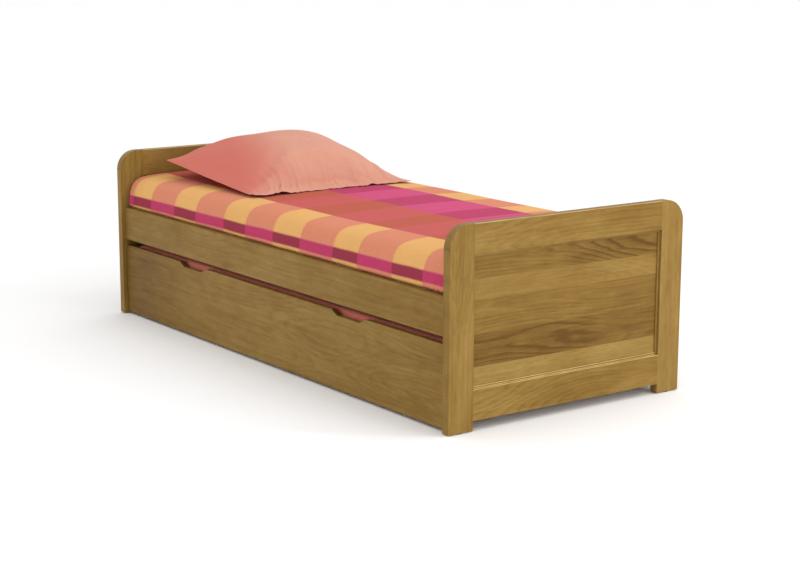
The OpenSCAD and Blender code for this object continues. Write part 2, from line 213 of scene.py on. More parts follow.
# light, middle and dark of each timber
OAK = (srgb(157, 129, 72), srgb(132, 101, 46), srgb(97, 67, 25))
PINE = (srgb(205, 172, 112), srgb(188, 150, 90), srgb(158, 116, 62))


def grain_frame(sh, axis):
    """Object coordinates reordered to (along the grain, across, depth), shifted by lot."""
    place = sh.node("TexCoord").outputs["Object"]
    split = sh.node("SeparateXYZ", {0: place}).outputs
    order = {"x": (0, 2, 1), "y": (1, 2, 0), "z": (2, 1, 0)}[axis]
    lot = sh.attribute("lot")
    along = sh.math("MULTIPLY_ADD", lot, 3.71, split[order[0]])
    across = sh.math("MULTIPLY_ADD", lot, 1.37, split[order[1]])
    return sh.node("CombineXYZ", {0: along, 1: across, 2: split[order[2]]}).outputs[0]


def ring_figure(sh, place, spacing):
    """Growth rings round a wandering heart under the face, as 0 to 1: cathedral arches."""
    split = sh.node("SeparateXYZ", {0: place}).outputs
    drift = sh.noise(sh.scaled(place, 1.1, 0.3, 0.0), 1.0, 1.0)
    heart = sh.math("MULTIPLY_ADD", drift, 3.4, sh.math("MULTIPLY", split[1], 16.0))
    aside = sh.math("MULTIPLY", sh.math("SINE", heart), 0.075)
    depth = sh.remap(sh.noise(sh.scaled(place, 0.9, 0.25, 0.0), 1.0, 1.0), 0.25, 0.75, 0.0, 0.12)
    radius = sh.math("SQRT", sh.math("ADD", sh.math("MULTIPLY", aside, aside),
                                     sh.math("MULTIPLY", depth, depth)))
    ripple = sh.noise(sh.scaled(place, 5.0, 30.0, 0.0), 1.0, 3.0)
    radius = sh.math("MULTIPLY_ADD", ripple, spacing * 1.6, radius)
    return sh.math("FRACT", sh.math("DIVIDE", radius, spacing))


@lru_cache(maxsize=None)
def wood(name, axis, light, middle, dark, spacing=0.0075):
    """Lacquered timber with ring figure, fibres, pores and cloudy colour."""
    sh = Shader(name)
    place = grain_frame(sh, axis)
    late = sh.ramp(ring_figure(sh, place, spacing),
                   [(0.0, (0.1, 0.1, 0.1, 1)), (0.45, (0.3, 0.3, 0.3, 1)),
                    (0.78, (1, 1, 1, 1)), (1.0, (0.1, 0.1, 0.1, 1))], "EASE")
    fibre = sh.noise(sh.scaled(place, 7.0, 330.0, 330.0), 1.0, 3.0, 0.6)
    streak = sh.noise(sh.scaled(place, 2.4, 92.0, 92.0), 1.0, 4.0, 0.62)
    cloud = sh.noise(sh.scaled(place, 3.4, 9.0, 9.0), 1.0, 3.0, 0.55, 0.5)
    blotch = sh.noise(sh.scaled(place, 17.0, 36.0, 36.0), 1.0, 4.0, 0.62, 0.5)
    pores = sh.noise(sh.scaled(place, 34.0, 900.0, 900.0), 1.0, 1.0, 0.5)
    pore = sh.remap(pores, 0.62, 0.70)
    fade = sh.remap(sh.noise(sh.scaled(place, 2.0, 5.0, 5.0), 1.0, 1.0), 0.35, 0.62, 0.30, 1.0)
    figure = sh.math("MULTIPLY", sh.math("MULTIPLY", late, fade), sh.attribute("figure"))
    level = sh.math("MULTIPLY_ADD", streak, 0.80, figure)
    level = sh.math("MULTIPLY_ADD", cloud, 0.80, level)
    level = sh.math("MULTIPLY_ADD", blotch, 0.50, level)
    level = sh.math("MULTIPLY_ADD", fibre, 0.40, level)
    level = sh.math("ADD", level, sh.attribute("tone"))
    level = sh.remap(level, 0.70, 2.03)
    colour = sh.ramp(level, [(0.0, light), (0.5, middle), (1.0, dark)])
    colour = sh.mix(sh.math("MULTIPLY", pore, 0.35), colour, dark)
    # worn edges, partly a painted highlight: pale only on eased edges that face up, where light
    # from above catches them
    rubbed_and_lit = sh.math("MULTIPLY", sh.attribute("wear_and_highlight"), sh.remap(blotch, 0.3, 0.6, 0.35, 0.75))
    colour = sh.mix(rubbed_and_lit, colour, PALE_WEAR_AND_HIGHLIGHT)
    rough = sh.math("MULTIPLY_ADD", fibre, 0.16, 0.38)
    height = sh.math("MULTIPLY_ADD", pore, -1.0, sh.math("MULTIPLY", fibre, 0.5))
    normal = sh.bump(height, 0.0003, 0.6)
    return sh.finish(Base_Color=colour, Roughness=rough, Normal=normal,
                     Specular_IOR_Level=0.07, Coat_Weight=0.05, Coat_Roughness=0.22)


def oak(axis):
    """The visible timber, with its grain along an axis."""
    return wood("oak_" + axis, axis, *OAK)


def pine(axis):
    """The hidden timber, with its grain along an axis."""
    return wood("pine_" + axis, axis, *PINE, spacing=0.006)


def write_layer(obj, name, values, domain="FACE"):
    """Stores one number per point, face or face corner under a name."""
    layer = obj.data.attributes.new(name, "FLOAT", domain)
    layer.data.foreach_set("value", list(values))


def between(stops, at):
    """Linear interpolation of (place, value) stops."""
    for (x0, a), (x1, b) in zip(stops, stops[1:]):
        if at <= x1:
            return a + (b - a) * max(at - x0, 0.0) / (x1 - x0)
    return stops[-1][1] if stops else 0.0


def give_lots(obj, seed, tone, figure, bands, axis, lean, ends):
    """Writes lot, figure and tone: one board, or staves cut by bands.

    Lean drifts the tone along an axis, and ends darkens the faces across that axis as painted
    shade.
    """
    lots, tones = [], []
    for poly in obj.data.polygons:
        above = [b for b in bands if poly.center.z > b[0]]
        lot = (seed + 1.7 * len(above), *above[-1][1:]) if above else (seed, tone, figure)
        lots.append(lot)
        # the lot's tone, plus painted shade on faces that face along the axis: a piece's ends and
        # their eased edges
        tone_and_end_shade = lot[1] + ends * smooth((abs(poly.normal[axis]) - 0.2) / 0.3)
        tones += [tone_and_end_shade + between(lean, obj.data.vertices[v].co[axis]) for v in poly.vertices]
    write_layer(obj, "lot", [lot[0] for lot in lots])
    write_layer(obj, "figure", [lot[2] for lot in lots])
    write_layer(obj, "tone", tones, "CORNER")


def cut(bm, places):
    """Cuts every face of a mesh at planes, each given as (axis, place)."""
    for axis, place in places:
        normal, point = Vector(), Vector()
        normal[axis], point[axis] = 1.0, place
        bmesh.ops.bisect_plane(bm, geom=bm.verts[:] + bm.edges[:] + bm.faces[:],
                               plane_co=point, plane_no=normal)


def eased(node, width=0.002, cuts=(), joint=None, edge_wear_and_highlight=0.0):
    """A copy of a CAD node with its sharp edges eased, save those that joint() names."""
    bm = bmesh.new()
    bm.from_mesh(NODES[node].data)
    bmesh.ops.remove_doubles(bm, verts=bm.verts, dist=1e-5)
    bmesh.ops.dissolve_limit(bm, angle_limit=math.radians(0.5), verts=bm.verts, edges=bm.edges)
    cut(bm, cuts)
    weight = bm.edges.layers.float.new("bevel_weight_edge")
    for edge in bm.edges:
        sharp = len(edge.link_faces) == 2 and edge.calc_face_angle(0) > math.radians(32)
        middle = (edge.verts[0].co + edge.verts[1].co) / 2
        if sharp and edge.calc_length() > 0.0025 and not (joint and joint(middle)):
            edge[weight] = 1.0
    mesh = bpy.data.meshes.new(node + "_eased")
    bm.to_mesh(mesh)
    bm.free()
    obj = bpy.data.objects.new(node + "_eased", mesh)
    SCENE.collection.objects.link(obj)
    mesh.materials.append(None)
    mesh.materials.append(None)    # marks the bevelled faces until their wear and painted highlight is written
    if width:
        bevel = obj.modifiers.new("ease", "BEVEL")
        bevel.width = width
        bevel.segments = 2
        bevel.limit_method = "WEIGHT"
        bevel.material = 1
    bake_modifiers(obj)
    polys = obj.data.polygons
    # wear and painted highlight: pale on the eased faces, the more the further they face up
    write_layer(obj, "wear_and_highlight", [edge_wear_and_highlight * p.material_index * smooth(1.6 * p.normal.z) for p in polys])
    obj.data.set_sharp_from_angle(angle=math.radians(33))
    for poly in polys:
        poly.use_smooth = poly.area < 0.0004
        poly.material_index = 0
    return obj


def timber(node, material, seed, width=0.002, tone=0.0, figure=0.3, bands=(), cuts=(),
           joint=None, edge_wear_and_highlight=0.0, axis=0, lean=(), ends=0.0):
    """An eased timber piece that replaces one CAD node."""
    planes = [(2, place) for place in cuts] + [(2, band[0]) for band in bands[1:]]
    planes += [(axis, stop[0]) for stop in lean[1:-1]]
    obj = eased(node, width, planes, joint, edge_wear_and_highlight)
    give_lots(obj, seed, tone, figure, bands, axis, lean, ends)
    finish_piece(obj, body_of(NODES[node])[0], material, [node])


# foot and head panels: glued staves as (lowest z, tone, figure), from the bottom up
STAVES = [(-1.0, -0.26, 0.10), (0.182, 0.36, 0.50), (0.276, 0.12, 0.25), (0.372, -0.04, 0.12),
          (0.433, 0.22, 0.60)]
# tone along the drawer front and the rail above it, as (x, extra tone): darker towards the drawer's
# head end and towards both ends of the rail
FRONT_TONE = ((-0.953, 0.50), (-0.78, 0.38), (-0.52, 0.02), (-0.15, -0.12), (0.45, -0.12),
              (0.953, 0.02))
RAIL_TONE = ((-0.96, 0.10), (-0.55, 0.0), (0.1, -0.12), (0.6, -0.02), (0.96, 0.14))


def stile_joint(place):
    """Edges of a stile that lie against a rail."""
    low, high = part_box("foot_panel")
    sunk = low.z - 0.002 < place.z < high.z + 0.002
    return abs(place.y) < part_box("foot_stile_back")[0].y + 0.0085 and not sunk


def rail_joint(place):
    """Edges of an end rail that lie against a stile."""
    return abs(place.y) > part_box("foot_panel")[1].y - 0.007


def side_joint(place):
    """Edges of a side rail that lie against a stile."""
    return abs(place.x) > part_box("side_rail_front")[1].x - 0.001


def end_panels():
    """Headboard and footboard: stiles, rails and staved panels."""
    sill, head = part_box("foot_panel")[0].z - 0.001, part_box("foot_panel")[1].z + 0.001
    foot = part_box("foot_bottom_rail")[0].z
    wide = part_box("foot_top_rail")[1].y
    for at, end in enumerate(("head", "foot")):
        seed = 11.3 * at
        for side, tone, offset in (("_stile_front", -0.04, 0.4), ("_stile_back", -0.08, 2.9)):
            timber(end + side, oak("z"), seed + offset, 0.0025, tone, 0.16,
                   cuts=(foot, sill, head), joint=stile_joint, edge_wear_and_highlight=0.5)
        timber(end + "_top_rail", oak("y"), seed + 4.3, 0.0025, 0.0, 0.24,
               joint=rail_joint, edge_wear_and_highlight=0.8, axis=1, lean=((-wide, -0.08), (wide, 0.14)))
        timber(end + "_bottom_rail", oak("y"), seed + 6.1, 0.0025, -0.06, 0.30,
               joint=rail_joint, edge_wear_and_highlight=1.0, axis=1, lean=((-wide, -0.10), (wide, 0.14)))
        timber(end + "_panel", oak("y"), seed + 8.2, 0.0008, bands=STAVES)


def bed_timber():
    """Side rails, cleats and slats of the bed frame."""
    timber("side_rail_front", oak("x"), 21.7, 0.0025, 0.0, 0.20, joint=side_joint,
           lean=RAIL_TONE)
    timber("side_rail_back", oak("x"), 23.9, 0.0025, 0.02, 0.20, joint=side_joint)
    for at, node in enumerate(("slat_cleat_front", "slat_cleat_back")):
        timber(node, pine("x"), 31.1 + at)
    for at in range(1, 11):
        timber(f"bed_slat_{at}", pine("y"), 40.3 + 1.9 * at, 0.0025,
               0.12 * math.sin(at * 2.4), 0.5)


def drawer_timber():
    """The drawer box, its bearers, cleats and slats."""
    # ends paints shade on the drawer front's ends, a dark line where the gaps to the stiles lie in
    # shadow
    timber("drawer_front", oak("x"), 61.2, 0.002, 0.0, 0.20, lean=FRONT_TONE, ends=1.3)
    timber("drawer_back", oak("x"), 63.4)
    for at, end in enumerate(("head", "foot")):
        timber("drawer_end_" + end, oak("y"), 65.5 + at)
        timber("castor_bearer_" + end, pine("y"), 71.5 + at)
    for at, side in enumerate(("front", "back")):
        timber("drawer_cleat_" + side, pine("x"), 75.5 + at)
    for at in range(1, 9):
        timber(f"drawer_slat_{at}", pine("y"), 80.1 + 2.3 * at, 0.0025,
               0.12 * math.sin(at * 1.9), 0.5)


# ---------------------------------------------------------------- metal and nylon

@lru_cache(maxsize=None)
def metal(name, colour, rough):
    """Plated steel with fine scratches and cloudy plating."""
    sh = Shader(name)
    place = sh.node("TexCoord").outputs["Object"]
    cloud = sh.noise(place, 90.0, 3.0)
    scratch = sh.noise(sh.scaled(place, 900.0, 60.0, 900.0), 1.0, 2.0)
    dull = tuple(0.72 * c for c in colour[:3]) + (1.0,)
    tint = sh.mix(sh.remap(cloud, 0.3, 0.7), colour, dull)
    roughness = sh.math("MULTIPLY_ADD", cloud, 0.2, rough - 0.1)
    normal = sh.bump(scratch, 0.00005, 0.5)
    return sh.finish(Base_Color=tint, Metallic=1.0, Roughness=roughness, Normal=normal)


@lru_cache(maxsize=None)
def nylon(name, colour):
    """Moulded nylon with a fine spark-eroded texture and floor scuffs."""
    sh = Shader(name)
    place = sh.node("TexCoord").outputs["Object"]
    grit = sh.noise(place, 2200.0, 1.0)
    scuff = sh.noise(place, 160.0, 4.0, 0.65)
    pale = tuple(min(1.0, 2.2 * c + 0.03) for c in colour[:3]) + (1.0,)
    tint = sh.mix(sh.remap(scuff, 0.45, 0.8, 0.0, 0.6), colour, pale)
    roughness = sh.math("MULTIPLY_ADD", scuff, 0.25, 0.38)
    normal = sh.bump(grit, 0.00006, 0.6)
    return sh.finish(Base_Color=tint, Roughness=roughness, Normal=normal)


def hardware():
    """Castors, glides and fastenings."""
    steel = metal("castor_steel", srgb(176, 178, 182), 0.34)
    zinc = metal("zinc_plate", srgb(190, 186, 172), 0.30)
    dark = nylon("castor_nylon", srgb(40, 40, 43))
    for at in range(1, 5):
        for kind, width, material, slot in (("bracket", 0.0004, steel, "steel"),
                                            ("wheel", 0.0, dark, "nylon")):
            node = f"castor_{kind}_{at}"
            obj = eased(node, width)
            finish_piece(obj, body_of(NODES[node])[0], material, [node])
    # these nodes keep their CAD shape and only take a material
    plated = ("rail_cam_bolts", "rail_cam_locks", "bed_screws", "castor_screws", "drawer_screws")
    kept = [(node, zinc) for node in plated]
    kept += [("castor_axles", steel), ("foot_glides", dark), ("rail_dowels", pine("x"))]
    for node, material in kept:
        NODES[node].data.materials.clear()
        NODES[node].data.materials.append(material)


# ---------------------------------------------------------------- cloth

def weave(sh, place, pitch):
    """Plain weave as a height: two sets of crossing threads, each wave two pitches long."""
    threads = {"Vector": place, "Scale": 0.314159 / pitch / 2, "Distortion": 0.3, "Detail": 1.0}
    across, along = (sh.node("TexWave", threads, bands_direction=axis).outputs[1] for axis in "XY")
    return sh.math("MAXIMUM", across, along)


@lru_cache(maxsize=None)
def cotton(name, colour, shadow, painted_shade=None):
    """Plain dyed cotton: threads, slubs, soft creases, faded patches, and painted shade where told.
    """
    sh = Shader(name)
    place = sh.node("TexCoord").outputs["Object"]
    slub = sh.noise(sh.scaled(place, 60.0, 900.0, 300.0), 1.0, 2.0)
    patch = sh.noise(place, 9.0, 3.0)
    faded = sh.math("MULTIPLY_ADD", slub, 0.9, sh.math("MULTIPLY", patch, 0.3))
    tint = sh.mix(sh.remap(faded, 0.3, 0.9), colour, shadow)
    # painted shade: the tint blended towards a darker, redder colour by the stored weight
    if painted_shade:
        tint = sh.mix(sh.attribute("painted_shade"), tint, painted_shade)
    crease = sh.noise(place, 30.0, 4.0, 0.55, 0.6)
    soft = sh.bump(crease, 0.004, 0.35)
    normal = sh.node("Bump", {"Height": weave(sh, place, 0.0006), "Distance": 0.00018,
                              "Strength": 0.6, "Normal": soft}).outputs[0]
    return sh.finish(Base_Color=tint, Roughness=0.85, Normal=normal, Sheen_Weight=0.06,
                     Sheen_Roughness=0.5, Specular_IOR_Level=0.08)


# plaid: weft stripe edges along the bed (x, metres), where colourways A and B alternate
WEFT_EDGES = (-0.908, -0.781, -0.611, -0.464, -0.278, -0.138, 0.031, 0.187, 0.369, 0.502,
              0.678, 0.825)
# warp hues as (colourway A, colourway B)
ORANGE = (srgb(225, 173, 106), srgb(214, 136, 106))
MAGENTA = (srgb(147, 54, 73), srgb(186, 62, 101))
ROSE = (srgb(186, 92, 74), srgb(195, 92, 89))
PINK = (srgb(183, 64, 102), srgb(203, 79, 122))


def plaid(bands):
    """Madras-like plaid over the cloth's own map: u along the bed, v across, in metres."""
    sh = Shader("plaid_cotton")
    place = sh.node("UVMap", uv_map="cloth").outputs[0]
    split = sh.node("SeparateXYZ", {0: place}).outputs
    ragged = sh.noise(sh.scaled(place, 700.0, 700.0, 1.0), 1.0, 1.0)
    wander = sh.noise(sh.scaled(place, 5.0, 5.0, 1.0), 1.0, 2.0)
    shift = sh.math("MULTIPLY_ADD", ragged, 0.0016, sh.math("MULTIPLY_ADD", wander, 0.008, -0.0048))
    along = sh.math("ADD", split[0], shift)
    across = sh.math("ADD", split[1], shift)
    colourway = sh.steps(along, WEFT_EDGES)
    bow = sh.math("MULTIPLY", along, along)
    first, second = bands[0][3]
    for start, lean, curve, hue in bands[1:]:
        edge = sh.math("MULTIPLY_ADD", along, lean, sh.math("MULTIPLY_ADD", bow, curve, start))
        inside = sh.past(across, edge)
        first = sh.mix(inside, first, hue[0])
        second = sh.mix(inside, second, hue[1])
    colour = sh.mix(colourway, second, first)
    slub = sh.noise(sh.scaled(place, 14.0, 700.0, 1.0), 1.0, 2.0)
    cross = sh.noise(sh.scaled(place, 700.0, 14.0, 1.0), 1.0, 2.0)
    thread = sh.math("ADD", slub, cross)
    shaded = sh.mix(sh.remap(thread, 0.75, 1.3, 0.0, 0.15), colour, srgb(128, 40, 44))
    height = sh.math("MULTIPLY_ADD", thread, 0.6, weave(sh, place, 0.0008))
    normal = sh.bump(height, 0.0002, 0.6)
    return sh.finish(Base_Color=shaded, Roughness=0.9, Normal=normal, Sheen_Weight=0.02,
                     Sheen_Roughness=0.5, Specular_IOR_Level=0.05)


# half profile of the made-up mattress at mid length, as (|y|, z), from the tuck upward
FRONT = [(0.3990, 0.3625), (0.3990, 0.3780), (0.4000, 0.3900), (0.4045, 0.3940),
         (0.4115, 0.3955), (0.4142, 0.4000), (0.4143, 0.4170), (0.4125, 0.4340),
         (0.4080, 0.4520), (0.4000, 0.4700), (0.3880, 0.4840), (0.3700, 0.4930),
         (0.3450, 0.4980), (0.3000, 0.5010), (0.2400, 0.5030), (0.1600, 0.5045),
         (0.0800, 0.5055)]
ROLL = 0.009       # radius on which the spread turns down at the bed's ends
GAP = 0.0015       # by which the spread ends inside its CAD solid
COTTON = 0.0012    # thickness of the spread


def section():
    """The whole cross section: front half, crown and mirrored back half."""
    front = [Vector((-y, z)) for y, z in FRONT]
    back = [Vector((y, z)) for y, z in reversed(FRONT)]
    return front + [Vector((0.0, 0.5060))] + back


def resample(points, step):
    """Points at equal arc steps on a Catmull-Rom curve through the given ones."""
    fine = []
    count = len(points)
    for i in range(count - 1):
        p0, p1 = points[max(i - 1, 0)], points[i]
        p2, p3 = points[i + 1], points[min(i + 2, count - 1)]
        for k in range(8):
            t = k / 8
            fine.append(0.5 * (2 * p1 + (p2 - p0) * t + (2 * p0 - 5 * p1 + 4 * p2 - p3) * t * t
                               + (3 * p1 - p0 - 3 * p2 + p3) * t ** 3))
    fine.append(points[-1])
    reach = [0.0]
    for a, b in zip(fine, fine[1:]):
        reach.append(reach[-1] + (b - a).length)
    total = reach[-1]
    steps = max(int(round(total / step)), 2)
    made, at = [], 0
    for k in range(steps + 1):
        want = total * k / steps
        while at < len(reach) - 2 and reach[at + 1] < want:
            at += 1
        gap = reach[at + 1] - reach[at]
        t = (want - reach[at]) / gap if gap else 0.0
        made.append((want, fine[at].lerp(fine[at + 1], t)))
    return made, total


def bedspread():
    """The plaid spread: one cloth swept over the mattress, tucked in all round."""
    profile, total = resample(section(), 0.006)
    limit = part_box("bedspread")[1].x
    end = limit - GAP
    stations = []
    for side in (-1, 1):
        run = []
        for k in range(7):
            angle = math.pi / 2 * k / 6
            run.append((end - ROLL + ROLL * math.sin(angle), ROLL * (1 - math.cos(angle))))
        for k in range(1, 4):
            run.append((end, ROLL + 0.02 * k))
        stations.append([(side * x, inset) for x, inset in run])
    steps = 236
    middle = [((-1 + 2 * k / steps) * (end - ROLL), 0.0) for k in range(1, steps)]
    rows = stations[0][::-1] + middle + stations[1]
    verts, uvs = [], []
    reach, before = 0.0, None
    for x, inset in rows:
        spot = Vector((x, inset))
        if before is not None:
            reach += (spot - before).length
        before = spot
        along = x if inset == 0 else math.copysign(end - ROLL + inset, x)
        for k, (arc, p) in enumerate(profile):
            a = profile[max(k - 1, 0)][1]
            b = profile[min(k + 1, len(profile) - 1)][1]
            out = Vector((-(b - a).y, (b - a).x)).normalized()
            hug = 0.12 + 0.88 * smooth((min(arc, total - arc) - 0.015) / 0.05)
            q = p - out * inset * hug
            q = q + out * wrinkle(x, arc, total, limit)
            verts.append((x, q.x, q.y))
            uvs.append((along, arc))
    wide = len(profile)
    faces = []
    for i in range(len(rows) - 1):
        for k in range(wide - 1):
            a = i * wide + k
            faces.append((a, a + wide, a + wide + 1, a + 1))
    obj = link_mesh("bedspread_cloth", verts, faces)
    layer = obj.data.uv_layers.new(name="cloth")
    for loop in obj.data.loops:
        layer.data[loop.index].uv = uvs[loop.vertex_index]
    thick = obj.modifiers.new("thickness", "SOLIDIFY")
    thick.thickness = COTTON
    thick.offset = -1.0
    bake_modifiers(obj)
    shade(obj, 80)
    crown = total / 2
    # warp bands from the front tuck to the back one, as (start, lean, curve, hues)
    bands = [(0.0, 0.0, 0.0, ORANGE), (0.0528, 0.004, 0.0, MAGENTA), (0.0868, 0.004, 0.0, ORANGE),
             (0.236, 0.0, 0.034, ROSE), (crown - 0.028, 0.0, 0.0, PINK),
             (crown + 0.222, 0.0, 0.0, ORANGE), (total - 0.081, -0.006, 0.0, MAGENTA),
             (total - 0.047, -0.006, 0.0, ORANGE)]
    finish_piece(obj, "bed_frame", plaid(bands), ["bedspread"])


def wrinkle(x, arc, total, limit):
    """Small undulations and tension creases of the tucked cloth, in metres along the normal."""
    swell = 0.0022 * noise.noise(Vector((x * 3.1, arc * 4.0, 2.7)))
    side = mound(min(arc, total - arc) - 0.07, 0, 0.06, 1)
    puffs = 0.0022 * side * noise.noise(Vector((x * 9.0, 5.1, 0.0)))
    nearest = limit - abs(x)
    creases = 0.0036 * side * mound(nearest - 0.05, 0, 0.045, 1)
    creases *= math.sin(nearest * 300 + arc * 14 + 2 * noise.noise(Vector((x * 20, arc * 9, 0))))
    return swell + puffs + creases


# ---------------------------------------------------------------- soft blocks

def soft_block(name, low, high, radius, crown, step=0.02):
    """A rounded, crowned mattress body between two corners."""
    size = high - low
    mid = (low + high) / 2
    nx, ny, nz = (max(int(round(s / step)), 4) for s in size)
    half = size / 2
    verts, faces, index = [], [], {}

    def spread(k, n):
        t = -1 + 2 * k / n
        return math.copysign(1 - (1 - abs(t)) ** 1.25, t)

    def vertex(i, j, k):
        key = (i, j, k)
        if key not in index:
            raw = Vector((spread(i, nx) * half.x, spread(j, ny) * half.y, spread(k, nz) * half.z))
            core = Vector((min(max(raw[a], -half[a] + radius), half[a] - radius)
                           for a in range(3)))
            gap = raw - core
            p = core + gap.normalized() * radius if gap.length > 1e-9 else raw
            u, v, w = p.x / half.x, p.y / half.y, p.z / half.z
            if w > 0:
                p.z += crown * math.sqrt(max(1 - u * u, 0.0) * max(1 - v * v, 0.0))
            index[key] = len(verts)
            verts.append(p + mid)
        return index[key]

    def patch(na, nb, put):
        for a in range(na):
            for b in range(nb):
                quad = [put(a, b), put(a + 1, b), put(a + 1, b + 1), put(a, b + 1)]
                if len(set(quad)) == 4:
                    faces.append(quad)

    patch(nx, ny, lambda a, b: vertex(a, b, nz))
    patch(ny, nx, lambda a, b: vertex(b, a, 0))
    patch(ny, nz, lambda a, b: vertex(nx, a, b))
    patch(nz, ny, lambda a, b: vertex(0, b, a))
    patch(nz, nx, lambda a, b: vertex(b, ny, a))
    patch(nx, nz, lambda a, b: vertex(a, 0, b))
    return link_mesh(name, verts, faces)


def cloth_puff(obj, pressure, frames, cap=None):
    """Inflates a closed mesh as cloth and keeps the result, moving no point further than cap."""
    start = [v.co.copy() for v in obj.data.vertices]
    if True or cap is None:
        cloth = obj.modifiers.new("cloth", "CLOTH")
        cloth.settings.use_pressure = True
        cloth.settings.uniform_pressure_force = pressure
        cloth.settings.effector_weights.gravity = 0
        cloth.settings.quality = 6
        cloth.settings.mass = 0.3
        cloth.settings.tension_stiffness = 25
        cloth.settings.compression_stiffness = 8
        cloth.settings.shear_stiffness = 6
        cloth.settings.bending_stiffness = 0.06
        cloth.settings.air_damping = 4
        cloth.point_cache.frame_start = 1
        cloth.point_cache.frame_end = frames
        for at in range(1, frames + 1):
            SCENE.frame_set(at)
        bake_modifiers(obj)
        SCENE.frame_set(1)
    if cap:
        for vertex, rest in zip(obj.data.vertices, start):
            move = vertex.co - rest
            if move.length > cap:
                vertex.co = rest + move.normalized() * cap


def subdivide(obj):
    """One level of smooth subdivision, kept."""
    sub = obj.modifiers.new("subdivision", "SUBSURF")
    sub.levels = 1
    bake_modifiers(obj)


def mattresses():
    """The main mattress under the spread and the covered drawer mattress."""
    low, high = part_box("mattress")
    body = soft_block("mattress_body", low + Vector((0.002, 0.010, 0)),
                      high - Vector((0.002, 0.010, 0.0065)), 0.060, 0.002)
    shade(body, 60)
    ticking = cotton("mattress_ticking", srgb(226, 220, 204), srgb(205, 198, 180))
    finish_piece(body, "bed_frame", ticking, ["mattress"])
    low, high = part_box("drawer_mattress")
    pad = soft_block("drawer_mattress_cover", low + Vector((0.004, 0.001, 0.0)),
                     high - Vector((0.004, 0.003, -0.006)), 0.014, 0.003)
    cloth_puff(pad, 2.0, 14, cap=0.006)
    for vertex in pad.data.vertices:
        vertex.co.x = min(max(vertex.co.x, low.x - 0.003), high.x + 0.003)
        vertex.co.y = min(max(vertex.co.y, low.y - 0.0008), high.y + 0.0008)
        vertex.co.z = max(vertex.co.z, low.z)
    subdivide(pad)
    shade(pad, 60)
    red = cotton("red_cotton", srgb(219, 129, 109), srgb(197, 102, 88))
    finish_piece(pad, "drawer_bed", red, ["drawer_mattress"])


# ---------------------------------------------------------------- pillow

BAG = 0.292       # half the stitched bag before it is filled
SIDE = 64         # cells along each side of the bag
UPPER = (SIDE + 1) ** 2    # points of the upper layer, border included
HEM = 0.040       # width of the flange outside the stitching
CLOTH = 0.0014    # thickness of the flange
RISE = 0.095      # height of the crown above the stitching
TILT = 0.056      # height of the hem above the bed at the head
LEAN = 0.0686     # how far the crown leans to the foot
PLEAT = 0.0085    # height of the gathers along the foot seam
FLANGE_ROWS = 7   # rows of faces across the flange
CROWN = (2.375, 2.07, 0.86)     # roundness along the bed, across it, and overall
SHIFT = Vector((0.022, -0.007, 0.0))    # from the middle of the CAD pillow
MARGIN = Vector((0.0215, 0.0025))       # by which each half side is smaller than the CAD pillow
# uneven filling, as (u, v, height, reach along the bed, reach across it)
LUMPS = ((-0.85, -0.45, 0.012, 0.20, 0.30), (0.30, 0.82, 0.012, 0.35, 0.20),
         (0.88, 0.97, -0.006, 0.14, 0.10))


def bag_mesh():
    """Two flat layers joined at the border, with a little uneven fill. Returns (object, rim)."""
    verts, faces, layers = [], [], []
    for side in (1, -1):
        grid = {}
        for i in range(SIDE + 1):
            for j in range(SIDE + 1):
                u, v = -1 + 2 * i / SIDE, -1 + 2 * j / SIDE
                if side < 0 and max(abs(u), abs(v)) > 0.9999:
                    grid[i, j] = layers[0][i, j]
                    continue
                fill = 0.030 * math.sqrt((1 - u * u) * (1 - v * v))
                lump = 0.004 * noise.noise(Vector((u * 4, v * 4, side * 3.0)))
                grid[i, j] = len(verts)
                verts.append((BAG * u, BAG * v, side * (fill + lump)))
        layers.append(grid)
        for i in range(SIDE):
            for j in range(SIDE):
                quad = [grid[i, j], grid[i + 1, j], grid[i + 1, j + 1], grid[i, j + 1]]
                faces.append(quad if side > 0 else quad[::-1])
    top = layers[0]
    rim = [top[i, 0] for i in range(SIDE)] + [top[SIDE, j] for j in range(SIDE)]
    rim += [top[i, SIDE] for i in range(SIDE, 0, -1)] + [top[0, j] for j in range(SIDE, 0, -1)]
    return link_mesh("pillow_bag", verts, faces), rim


def hem_height(u, v):
    """Height of the hem above the bed: flat at the foot, raised at the head."""
    slope = min(max((1 - u) / 2, 0.0), 1.0)
    return TILT * slope ** (1.1 + 0.9 * smooth(v))


def seam_height(u, v):
    """Height of the stitching above the bed, lower at the corners."""
    corner = smooth((min(abs(u), abs(v)) - 0.72) / 0.28)
    return hem_height(u, v) + 0.027 * (1 - 0.66 * corner) + 0.038 * smooth(v * 0.5 - u * 0.7)


def dome(u, v, a, b, power):
    """A pillow's crown over the square -1..1: 1 in the middle, 0 at the border."""
    return max((1 - abs(u) ** a) * (1 - abs(v) ** b), 0.0) ** power


def mound(a, b, reach_a, reach_b):
    """A round bump over two distances from its middle, where it is 1."""
    return math.exp(-(a / reach_a) ** 2 - (b / reach_b) ** 2)


def pucker(v):
    """Gathers along the foot seam, as a wave of uneven strength."""
    wave = math.sin(v * 56 + 7 * noise.noise(Vector((v * 5, 0.3, 0))))
    return wave * max(0.45 + 1.3 * noise.noise(Vector((v * 7, 4.1, 0))), 0.1)


def corner_crease(u, v):
    """The fold that runs from the near foot corner up to the crown."""
    along, off = (u - v) / 2, u + v + 0.05
    reach = smooth((along - 0.15) / 0.3) * smooth((1.0 - along) / 0.15)
    off += 0.06 * math.sin(along * 7)
    ridge = 0.011 * math.exp(-abs(off - 0.14) / 0.13)
    return reach * (ridge - 0.008 * mound(off + 0.08, 0, 0.1, 1))


